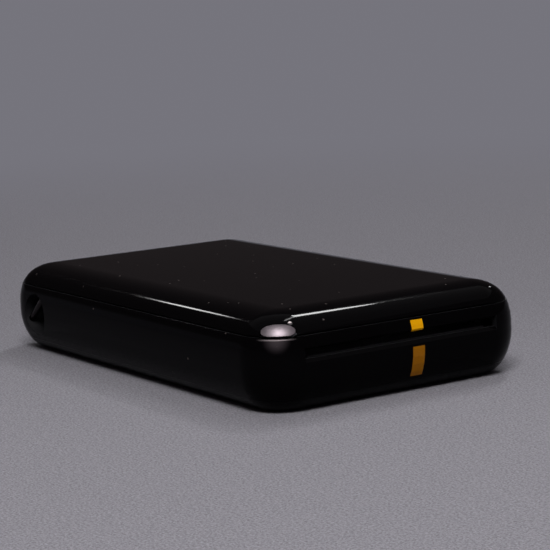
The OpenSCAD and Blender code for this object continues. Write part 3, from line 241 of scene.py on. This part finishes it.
def drawn_lines_group():
    """Fine lines left by rolling, drawing or brushing metal, stretched along one axis."""
    group, ins, outs = shader_group("drawn lines", {"X": 300.0, "Y": 8.0, "Z": 300.0}, ["Height", "Shade"])
    stretch = add_node(group, "ShaderNodeCombineXYZ", {axis: ins[axis] for axis in "XYZ"}).outputs[0]
    scaled = add_node(group, "ShaderNodeVectorMath", {0: object_place(group), 1: stretch},
                      operation="MULTIPLY").outputs[0]
    lines = add_node(group, "ShaderNodeTexNoise", {"Vector": scaled, "Scale": 10, "Detail": 4}).outputs["Fac"]
    for label in ("Height", "Shade"):
        group.links.new(lines, outs[label])
    return group


GRAIN = moulded_grain_group()
HANDLING = handling_group()
DUST = dust_group()
LINES = drawn_lines_group()


def place_group(tree, group, **values):
    return add_node(tree, "ShaderNodeGroup", values, node_tree=group).outputs


# Kinds of finish

DUST_TONE = (0.085, 0.072, 0.068)
DUST_ROUGHNESS = 0.5
# Roughness added under the painted glow and highlight by the button
GLOW_PATCH_ROUGHNESS = 0.3


def start_material(name, color, metallic, roughness, specular=0.5):
    material = bpy.data.materials.new(name)
    material.use_nodes = True
    shader = material.node_tree.nodes["Principled BSDF"]
    shader.inputs["Base Color"].default_value = (*color, 1)
    shader.inputs["Metallic"].default_value = metallic
    shader.inputs["Roughness"].default_value = roughness
    shader.inputs["Specular IOR Level"].default_value = specular
    return material, material.node_tree, shader


def link_surface(tree, shader, **sources):
    """Link outputs to the shader's sockets, whose names are written with _ for a space."""
    for socket, source in sources.items():
        tree.links.new(source, shader.inputs[socket.replace("_", " ")])


def painted_glow_mask(tree, place, reach, lowest, highest):
    """1 round one place and between two heights, where a painted glow or highlight goes."""
    near = smooth_step(tree, distance_from(tree, mm(*place)), reach * MM, 0)
    middle = (highest + lowest) / 2 * MM
    band = calculate(tree, "COMPARE", object_height(tree), middle, (highest - lowest) / 2 * MM)
    return calculate(tree, "MULTIPLY", near, band)


def gloss_plastic(name, color, low, high, specular):
    """Polished plastic with slightly uneven colour and gloss."""
    material, tree, shader = start_material(name, color, 0, low, specular)
    handled = place_group(tree, HANDLING, Scale=38.0, Low=low, High=high)
    tone = mix_colors(tree, handled["Mask"], scaled_color(color, 0.9), scaled_color(color, 1.15))
    link_surface(tree, shader, Base_Color=tone, Roughness=handled["Roughness"],
                 Normal=relief(tree, handled["Mask"], 0.02, 0.2))
    return material


def gloss_plastic_with_painted_glow(name, color, low, high, specular, glow_places):
    """Polished plastic in use: uneven gloss, a painted reflection glow and highlight line under the button
    with raised roughness, and settled dust.
    """
    material, tree, shader = start_material(name, color, 0, low, specular)
    handled = place_group(tree, HANDLING, Scale=38.0, Low=low, High=high)
    tone, roughness = color, handled["Roughness"]
    # Painted glow and highlight: each place mixes in a paler tone and raises the roughness
    for glow_tone, place, reach, lowest, highest in glow_places:
        mask = painted_glow_mask(tree, place, reach, lowest, highest)
        tone = mix_colors(tree, mask, tone, glow_tone)
        roughness = calculate(tree, "MULTIPLY_ADD", mask, GLOW_PATCH_ROUGHNESS, roughness)
    dust = place_group(tree, DUST, Scale=330.0, Size=0.075, Share=0.26)["Mask"]
    tone = mix_colors(tree, dust, tone, DUST_TONE)
    roughness = calculate(tree, "MULTIPLY_ADD", dust, DUST_ROUGHNESS, roughness)
    link_surface(tree, shader, Base_Color=tone, Roughness=roughness,
                 Normal=relief(tree, handled["Mask"], 0.02, 0.2))
    return material


def moulded_plastic(name, color, roughness, grain=1400.0, strength=0.35, specular=0.4):
    """Plastic with the fine texture of its mould."""
    material, tree, shader = start_material(name, color, 0, roughness, specular)
    texture = place_group(tree, GRAIN, Scale=grain, Contrast=1.0)
    handled = place_group(tree, HANDLING, Scale=60.0, Low=roughness - 0.08, High=roughness + 0.08)
    tone = mix_colors(tree, handled["Mask"], scaled_color(color, 0.9), scaled_color(color, 1.25, 0.004))
    link_surface(tree, shader, Base_Color=tone, Roughness=handled["Roughness"],
                 Normal=relief(tree, texture["Height"], strength, 0.04))
    return material


def lined_metal(name, color, roughness, lines=(300.0, 8.0, 300.0), strength=0.15):
    """Metal with the lines of its making; lines gives how close they are along X, Y and Z."""
    material, tree, shader = start_material(name, color, 1.0, roughness)
    marks = place_group(tree, LINES, **dict(zip("XYZ", lines)))
    handled = place_group(tree, HANDLING, Scale=90.0, Low=roughness - 0.05, High=roughness + 0.1)
    tone = mix_colors(tree, marks["Shade"], scaled_color(color, 0.82), scaled_color(color, 1.12))
    link_surface(tree, shader, Base_Color=tone, Roughness=handled["Roughness"],
                 Normal=relief(tree, marks["Height"], strength, 0.02))
    return material


def roller_rubber(name, color):
    """Matt ground rubber."""
    material, tree, shader = start_material(name, color, 0, 0.75, 0.3)
    texture = place_group(tree, GRAIN, Scale=700.0, Contrast=1.0)
    handled = place_group(tree, HANDLING, Scale=120.0, Low=0.6, High=0.85)
    tone = mix_colors(tree, handled["Mask"], color, scaled_color(color, 1.7, 0.005))
    link_surface(tree, shader, Base_Color=tone, Roughness=handled["Roughness"],
                 Normal=relief(tree, texture["Height"], 0.5, 0.06))
    return material


def board_lacquer(name):
    """Green lacquer over copper: paler lines in a square weave."""
    material, tree, shader = start_material(name, (0.01, 0.12, 0.045), 0, 0.3)
    weave = {"Vector": object_place(tree), "Scale": 190, "Mortar Size": 0.03,
             "Color1": (0.010, 0.125, 0.046, 1), "Color2": (0.014, 0.165, 0.062, 1),
             "Mortar": (0.02, 0.25, 0.095, 1)}
    tracks = add_node(tree, "ShaderNodeTexBrick", weave, offset=0.5, squash=0.6).outputs
    link_surface(tree, shader, Base_Color=tracks["Color"], Normal=relief(tree, tracks["Fac"], 0.3, 0.03))
    return material


def lit_light_pipe(name):
    """A clear light pipe whose middle glows, as a small lit indicator does."""
    material, tree, shader = start_material(name, (0.03, 0.028, 0.03), 0, 0.08)
    handled = place_group(tree, HANDLING, Scale=200.0, Low=0.05, High=0.12)
    low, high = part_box("status_light")
    tip = ((low[0] + high[0]) / 2, (low[1] + high[1]) / 2, high[2])
    glow = smooth_step(tree, distance_from(tree, tip), 0.9 * MM, 0.35 * MM)
    tint = mix_colors(tree, glow, (0.02, 0.017, 0.018), (1.0, 0.86, 0.86))
    link_surface(tree, shader, Roughness=handled["Roughness"], Emission_Color=tint)
    shader.inputs["Emission Strength"].default_value = 1
    return material


# Materials, one for each slot of the record, and three finishes of the scene's own

MATERIALS = {
    "case_black": gloss_plastic_with_painted_glow("case black gloss", (0.0016, 0.0014, 0.0017), 0.045, 0.085, 0.03,
                                        PAINTED_GLOW_PLACES),
    "case_inside": moulded_plastic("inside of the case", (0.0075, 0.0075, 0.0085), 0.5,
                                   grain=1500.0, specular=0.25),
    "base_black": gloss_plastic("base black", (0.002, 0.002, 0.0023), 0.16, 0.26, 0.03),
    "rubber": roller_rubber("roller rubber", (0.012, 0.012, 0.013)),
    "screw_steel": lined_metal("screw steel", (0.42, 0.42, 0.44), 0.32, (60.0, 60.0, 60.0)),
    "mark_yellow": gloss_plastic("mark yellow", (0.87, 0.405, 0.002), 0.18, 0.28, 0.15),
    "mark_amber": gloss_plastic("mark amber", (0.325, 0.120, 0.0008), 0.2, 0.3, 0.12),
    "bright_steel": lined_metal("bright steel", (0.58, 0.57, 0.56), 0.24, (40.0, 200.0, 40.0), 0.08),
    "bar_dark": lined_metal("dark plated bar", (0.026, 0.022, 0.023), 0.2, (40.0, 40.0, 200.0), 0.08),
    "pin_steel": lined_metal("ground pin steel", (0.56, 0.56, 0.58), 0.22, (8.0, 260.0, 8.0)),
    "button_silver": lined_metal("satin button", (0.135, 0.116, 0.127), 0.4, (140.0, 140.0, 140.0), 0.05),
    "light_lens": lit_light_pipe("lit light pipe"),
    "board_green": board_lacquer("board lacquer"),
    "switch_black": moulded_plastic("switch nylon", (0.02, 0.02, 0.021), 0.5),
    "frame_grey": moulded_plastic("chassis plastic", (0.028, 0.028, 0.031), 0.5, grain=1300.0, strength=0.4),
    "bush_bronze": lined_metal("sintered bronze", (0.42, 0.25, 0.10), 0.45, (90.0, 90.0, 90.0), 0.3),
    "gear_white": moulded_plastic("gear acetal", (0.66, 0.64, 0.56), 0.38,
                                  grain=1600.0, strength=0.12, specular=0.5),
    "motor_can": lined_metal("motor can", (0.5, 0.5, 0.5), 0.34, (60.0, 6.0, 260.0)),
    "brass": lined_metal("turned brass", (0.62, 0.40, 0.13), 0.26, (50.0, 260.0, 50.0)),
    "sheet_steel": lined_metal("plated sheet", (0.52, 0.53, 0.55), 0.3, (240.0, 8.0, 240.0)),
    "ceramic": gloss_plastic("glazed ceramic", (0.62, 0.57, 0.47), 0.12, 0.2, 0.5),
    "sink_aluminium": lined_metal("extruded aluminium", (0.6, 0.61, 0.62), 0.38, (280.0, 6.0, 280.0), 0.25),
    "spring_steel": lined_metal("spring wire", (0.46, 0.46, 0.48), 0.28, (80.0, 80.0, 80.0)),
    "battery_wrap": moulded_plastic("battery wrap", (0.02, 0.035, 0.09), 0.35, grain=500.0, strength=0.1),
}
OWN_FINISH = {"mark_lower": "mark_amber", "lanyard_bar": "bar_dark"}
SLOT_OF = {row["node"]: row["material_slot"] for row in frame["record"]["subparts"]}


def dress(piece, finish):
    piece.data.materials.clear()
    piece.data.materials.append(MATERIALS[finish])
    for face in piece.data.polygons:
        face.material_index = 0


# The solids, merged and finished

def weld(shape, reach=WELD):
    bmesh.ops.remove_doubles(shape, verts=shape.verts, dist=reach * MM)


def soften(shape, sharp):
    """Smooth shading, with hard edges where faces meet at more than sharp degrees."""
    for face in shape.faces:
        face.smooth = True
    for line in shape.edges:
        line.smooth = line.is_manifold and line.calc_face_angle(0) < math.radians(sharp)


def is_outer_rim(line, height):
    """True for a convex edge at one height between a level face and an outer wall."""
    off_level, level, leaning, clear_of_middle = 0.02 * MM, 0.99, 0.6, 20 * MM
    if len(line.link_faces) != 2 or not line.is_convex:
        return False
    if any(abs(corner.co.z - height * MM) > off_level for corner in line.verts):
        return False
    middle = (line.verts[0].co + line.verts[1].co) / 2
    flat, wall = sorted(line.link_faces, key=lambda face: -abs(face.normal.z))
    faces_out = wall.normal.dot(middle) > clear_of_middle
    return abs(flat.normal.z) > level and abs(wall.normal.z) < leaning and faces_out


def ease_parting_edge(shape, height):
    """Break the sharp outer edge of a moulded part where it meets its neighbour."""
    edges = [line for line in shape.edges if is_outer_rim(line, height)]
    bmesh.ops.bevel(shape, geom=edges, offset=PARTING_EASE * MM, offset_type="OFFSET", segments=3,
                    profile=0.5, affect="EDGES", material=-1, clamp_overlap=True)


def closed_case_tree():
    """The three moulded parts of the closed case together, for telling inside from outside."""
    corners, faces = [], []
    for node in ("top_cover", "body_shell", "bottom_cover"):
        mesh = frame["nodes"][node].data
        start = len(corners)
        corners += [corner.co.copy() for corner in mesh.vertices]
        faces += [[start + index for index in face.vertices] for face in mesh.polygons]
    return BVHTree.FromPolygons(corners, faces)


def mark_inner_faces(shape, case_tree):
    """Faces that look at another wall of the case get the second, unpolished finish."""
    for face in shape.faces:
        start = face.calc_center_median() + face.normal * 0.02 * MM
        if case_tree.ray_cast(start, face.normal)[0] is not None:
            face.material_index = 1


def finished_copy(node, sharp=CASE_CREASE, parting=None, case_tree=None):
    """A merged copy of a CAD node with an eased parting edge and even shading."""
    source = frame["nodes"][node]
    mesh = source.data.copy()
    mesh.name = node + "_skin"
    mesh.materials.clear()
    shape = bmesh.new()
    shape.from_mesh(mesh)
    weld(shape)
    bmesh.ops.dissolve_limit(shape, angle_limit=math.radians(FLAT_JOIN), verts=shape.verts, edges=shape.edges)
    for face in shape.faces:
        face.material_index = 0
    if case_tree:
        mark_inner_faces(shape, case_tree)
    if parting:
        ease_parting_edge(shape, parting)
    soften(shape, sharp)
    shape.to_mesh(mesh)
    shape.free()
    mesh.materials.append(MATERIALS[SLOT_OF[node]])
    if case_tree:
        mesh.materials.append(MATERIALS["case_inside"])
    piece = add_object(node + "_skin", mesh)
    even = piece.modifiers.new("even", "WEIGHTED_NORMAL")
    even.weight = 80
    even.keep_sharp = True
    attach(piece, source["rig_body"])
    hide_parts(node)
    return piece


def give_spring(node, joint, top, travel):
    """A spring, as a finished copy with a mesh of its own."""
    piece = finished_copy(node, sharp=SPRING_CREASE)
    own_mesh(piece)


def dress_frame():
    """Every CAD node gets its material; the case, the button and the springs get finished copies."""
    for node, piece in frame["nodes"].items():
        dress(piece, OWN_FINISH.get(node, SLOT_OF[node]))
    tree = closed_case_tree()
    finished_copy("top_cover", parting=COVER_EDGE, case_tree=tree)
    finished_copy("body_shell", parting=SHELL_EDGE, case_tree=tree)
    finished_copy("bottom_cover", case_tree=tree)
    finished_copy("power_button")
    for node, spring in SPRINGS.items():
        give_spring(node, *spring)


# Small parts on the main board, in millimetres

# Chips with bent leads: x, y, width, length, leads on each side
BENT_LEAD_CHIPS = [(-27.5, -6, 3.9, 9.9, 8), (-51, 6, 3.9, 4.9, 4)]
LEAD_PITCH = 1.27 * 0.95
LEAD_THICK = 0.15
LEAD_WIDE = 0.4
LEAD_START = 0.75
LEAD_STEPS = [(0.3, 0), (0.3, -0.68), (0.45, 0)]
# Flat chips: x, y, width, length, height
FLAT_CHIPS = [(-48, 14.5, 4, 4, 0.8), (-37.5, -5.5, 3, 3, 0.75)]
PADS_PER_SIDE = 5
PAD_PITCH = 0.62
# Capacitors: x, y, turn
CAPACITORS = [
    (-33, -5, 0), (-33, -8, 0), (-33, -11, 0), (-45.5, -5, 90), (-45.5, -8, 90), (-53, -1.5, 0),
    (-53, 0.5, 0), (-35.5, -10.5, 90), (-37.7, -10.5, 90), (-43.5, 16.4, 0), (-40.8, 16.4, 0),
    (-38.1, 16.4, 0), (-33.5, 16.4, 0), (-30.8, 16.4, 0), (-47.5, 9.5, 90), (-29.8, 2, 90),
]
COIL = (-41.5, -6)
CRYSTAL = (-48.2, 0)
BATTERY_SOCKET = (-27.3, 10.7)
RIBBON_SOCKET = (-40, -15.6)
RIBBON_CONTACTS = 18
RIBBON_PITCH = 0.6


def add_block(shape, x, y, lift, size, ease):
    """An eased block whose middle is lift above the board."""
    place = Matrix.Translation(mm(x, y, BOARD_TOP + lift)) @ Matrix.Diagonal((*mm(*size), 1))
    corners = bmesh.ops.create_cube(shape, size=1, matrix=place)["verts"]
    lines = list({line for corner in corners for line in corner.link_edges})
    bmesh.ops.bevel(shape, geom=lines, offset=ease * MM, offset_type="OFFSET", segments=2,
                    profile=0.5, affect="EDGES", material=-1, clamp_overlap=True)


def add_bent_lead(shape, x, y, side):
    """A chip's flat lead: out of the body, down, and out again as a foot."""
    face = bmesh.ops.create_grid(shape, x_segments=1, y_segments=1, size=0.5)
    turn = Matrix.Rotation(math.radians(90), 4, "Y")
    size = Matrix.Diagonal((LEAD_THICK * MM, LEAD_WIDE * MM, 1, 1))
    place = Matrix.Translation(mm(x, y, BOARD_TOP + LEAD_START))
    bmesh.ops.transform(shape, matrix=place @ turn @ size, verts=face["verts"])
    ring = list({face for corner in face["verts"] for face in corner.link_faces})
    for run, drop in LEAD_STEPS:
        out = bmesh.ops.extrude_face_region(shape, geom=ring)["geom"]
        corners = [item for item in out if isinstance(item, bmesh.types.BMVert)]
        bmesh.ops.delete(shape, geom=ring, context="FACES_ONLY")
        ring = [item for item in out if isinstance(item, bmesh.types.BMFace)]
        bmesh.ops.translate(shape, verts=corners, vec=mm(side * run, 0, drop))


def add_bent_lead_chip(plastic, metal, x, y, wide, long, leads):
    add_block(plastic, x, y, 0.8, (wide, long, 1.3), 0.22)
    for side in (-1, 1):
        for lead in range(leads):
            along = (lead - (leads - 1) / 2) * LEAD_PITCH
            add_bent_lead(metal, x + side * (wide / 2 - 0.05), y + along, side)


def add_flat_chip(plastic, metal, x, y, wide, long, high):
    add_block(plastic, x, y, high / 2, (wide, long, high), 0.08)
    for side in (-1, 1):
        for pad in range(PADS_PER_SIDE):
            along = (pad - (PADS_PER_SIDE - 1) / 2) * PAD_PITCH
            add_block(metal, x + side * wide / 2, y + along, 0.06, (0.5, 0.3, 0.12), 0.02)


def add_capacitor(ceramic, metal, x, y, turn):
    """A ceramic block between two plated ends, along X or turned along Y."""
    body, end, step = (1.0, 0.8), (0.34, 0.84), (0.65, 0)
    if turn:
        body, end, step = body[::-1], end[::-1], step[::-1]
    add_block(ceramic, x, y, 0.4, (*body, 0.72), 0.06)
    for side in (-1, 1):
        add_block(metal, x + side * step[0], y + side * step[1], 0.4, (*end, 0.8), 0.08)


def add_battery_socket(housing, metal, x, y):
    """A socket open to one side: two cheeks, a back, a floor and two contacts."""
    long, wide, high, wall, lap = 4.4, 6.0, 3.0, 0.6, 0.2
    between = wide - 2 * (wall - lap)
    for side in (-1, 1):
        add_block(housing, x, y + side * (wide - wall) / 2, high / 2, (long, wall, high), 0.1)
    add_block(housing, x - (long - wall) / 2, y, high / 2, (wall, between, high), 0.1)
    add_block(housing, x, y, wall / 2, (long, between, wall), 0.1)
    for side in (-1, 1):
        add_block(metal, x + 0.3, y + side, 1.6, (3.6, 0.5, 0.5), 0.08)


def add_ribbon_socket(housing, latch, metal, x, y):
    """A flat socket for the head's ribbon cable, with its latch and a row of contacts."""
    add_block(housing, x, y, 0.55, (12, 1.6, 1.1), 0.12)
    add_block(latch, x, y + 1.5, 0.6, (11.2, 1.1, 0.9), 0.15)
    for contact in range(RIBBON_CONTACTS):
        along = (contact - (RIBBON_CONTACTS - 1) / 2) * RIBBON_PITCH
        add_block(metal, x + along, y - 1.0, 0.12, (0.22, 0.8, 0.2), 0.03)


def publish(name, shape, slot_name):
    """Turn a finished bmesh into a piece that rides on the case."""
    weld(shape)
    bmesh.ops.recalc_face_normals(shape, faces=shape.faces)
    soften(shape, BOARD_CREASE)
    mesh = bpy.data.meshes.new(name)
    shape.to_mesh(mesh)
    shape.free()
    mesh.materials.append(MATERIALS[slot_name])
    piece = add_object(name, mesh)
    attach(piece, "body")


def fit_main_board():
    """Chips with their leads, capacitors, a coil, a crystal can and the two sockets."""
    plastic, metal, ceramic, white = bmesh.new(), bmesh.new(), bmesh.new(), bmesh.new()
    for chip in BENT_LEAD_CHIPS:
        add_bent_lead_chip(plastic, metal, *chip)
    for chip in FLAT_CHIPS:
        add_flat_chip(plastic, metal, *chip)
    for capacitor in CAPACITORS:
        add_capacitor(ceramic, metal, *capacitor)
    add_block(plastic, *COIL, 1.0, (4, 4, 1.9), 0.5)
    add_block(metal, *CRYSTAL, 0.4, (3.2, 2.4, 0.75), 0.2)
    add_battery_socket(white, metal, *BATTERY_SOCKET)
    add_ribbon_socket(white, plastic, metal, *RIBBON_SOCKET)
    publish("board_chips", plastic, "switch_black")
    publish("board_leads", metal, "bright_steel")
    publish("board_capacitors", ceramic, "bush_bronze")
    publish("board_sockets", white, "gear_white")


# Floor and light

BLACK = (0, 0, 0)
PAPER_TONE = (0.56, 0.548, 0.603)
BACKDROP_LOW = (0.179, 0.176, 0.203)
BACKDROP_HIGH = (0.055, 0.050, 0.052)
TOWARDS_CAMERA = (0.836, -0.548, 0)
# Half of the paper's section, from its middle to its upper rim: radius and height
PAPER_OUTLINE = [(0, 0), (600, 0), (1150, 0), (1240, 60), (1240, 160)]


def studio_paper():
    """Grey paper with painted shade, darker towards the back, that fades into an even backdrop away from the
    printer.
    """
    material, tree, shader = start_material("studio paper", (0.25, 0.243, 0.27), 0, 0.9, 0.0)
    grain = place_group(tree, GRAIN, Scale=900.0, Contrast=1.0)
    mottle = place_group(tree, HANDLING, Scale=2200.0, Low=0.8, High=0.98)
    far = smooth_step(tree, distance_from(tree, (0, 0, 0), axes=(1, 1, 0)), 150 * MM, 650 * MM)
    high = smooth_step(tree, object_height(tree), 90 * MM, 160 * MM)
    # Painted shade: the paper's colour is scaled down towards the back, away from the camera
    ahead = add_node(tree, "ShaderNodeVectorMath", {0: object_place(tree), 1: TOWARDS_CAMERA},
                     operation="DOT_PRODUCT").outputs["Value"]
    painted_shade = smooth_step(tree, ahead, -90 * MM, 90 * MM, 0.78, 0.915)
    mottled = mix_colors(tree, mottle["Mask"], BLACK, PAPER_TONE)
    near_paper = mix_colors(tree, far, mottled, BLACK)
    paper = add_node(tree, "ShaderNodeVectorMath", {0: near_paper, "Scale": painted_shade}, operation="SCALE")
    backdrop = mix_colors(tree, high, BACKDROP_LOW, BACKDROP_HIGH)
    link_surface(tree, shader, Base_Color=paper.outputs["Vector"], Roughness=mottle["Roughness"],
                 Emission_Color=mix_colors(tree, far, BLACK, backdrop),
                 Normal=relief(tree, grain["Height"], 0.6, 0.3))
    shader.inputs["Emission Strength"].default_value = 1
    return material


def lay_floor():
    """A round sheet of grey paper, turned up at its rim like a shallow dish."""
    shape = bmesh.new()
    points = [shape.verts.new(mm(radius, 0, height)) for radius, height in PAPER_OUTLINE]
    lines = [shape.edges.new(pair) for pair in zip(points, points[1:])]
    bmesh.ops.spin(shape, geom=points + lines, axis=(0, 0, 1), cent=(0, 0, 0),
                   angle=math.tau, steps=72, use_merge=True, use_duplicate=False)
    weld(shape, 0.01)
    bmesh.ops.recalc_face_normals(shape, faces=shape.faces)
    if sum(face.normal.z for face in shape.faces) < 0:
        bmesh.ops.reverse_faces(shape, faces=shape.faces)
    mesh = bpy.data.meshes.new("floor")
    shape.to_mesh(mesh)
    shape.free()
    mesh.materials.append(studio_paper())
    floor = add_object("floor", mesh)


def soft_box(name, azimuth, elevation, distance, size, power, color=(1, 1, 1), shape="ELLIPSE"):
    """A lamp that faces the printer, given by its direction, its distance and its size in metres."""
    turn, rise = math.radians(azimuth), math.radians(elevation)
    way = Vector((math.cos(rise) * math.cos(turn), math.cos(rise) * math.sin(turn), math.sin(rise)))
    data = bpy.data.lights.new(name, "AREA")
    data.shape = shape
    data.size, data.size_y = size
    data.energy = power
    data.color = color
    aim = way.to_track_quat("Z", "Y").to_matrix().to_4x4()
    add_object(name, data).matrix_world = Matrix.Translation(way * distance) @ aim


def light_room():
    """A dim warm room, a key lamp, a wide lamp overhead and the lamps that the rim reflects."""
    world = bpy.data.worlds.new("room")
    bpy.context.scene.world = world
    world.use_nodes = True
    sky = world.node_tree.nodes["Background"]
    sky.inputs["Color"].default_value = (1.0, 0.83, 0.86, 1)
    sky.inputs["Strength"].default_value = 0.044
    soft_box("front key", -36, 50, 1.0, (0.34, 0.34), 6.6, (1, 0.98, 0.985), "RECTANGLE")
    soft_box("right rim", 123, 50, 1.2, (0.15, 0.1), 2.0)
    soft_box("rim hook", 119, 64, 1.2, (0.05, 0.5), 1.7)
    soft_box("far corner", 115, 28, 1.2, (0.05, 0.04), 0.12)
    soft_box("left rim", 183, 33.5, 1.3, (0.06, 0.07), 0.36)
    soft_box("room fill", 60, 88, 3.0, (6.0, 6.0), 34, (0.97, 0.97, 1.0), "RECTANGLE")


place_camera()
dress_frame()
fit_main_board()
lay_floor()
light_room()

scene = bpy.context.scene
scene.view_settings.view_transform = "Standard"
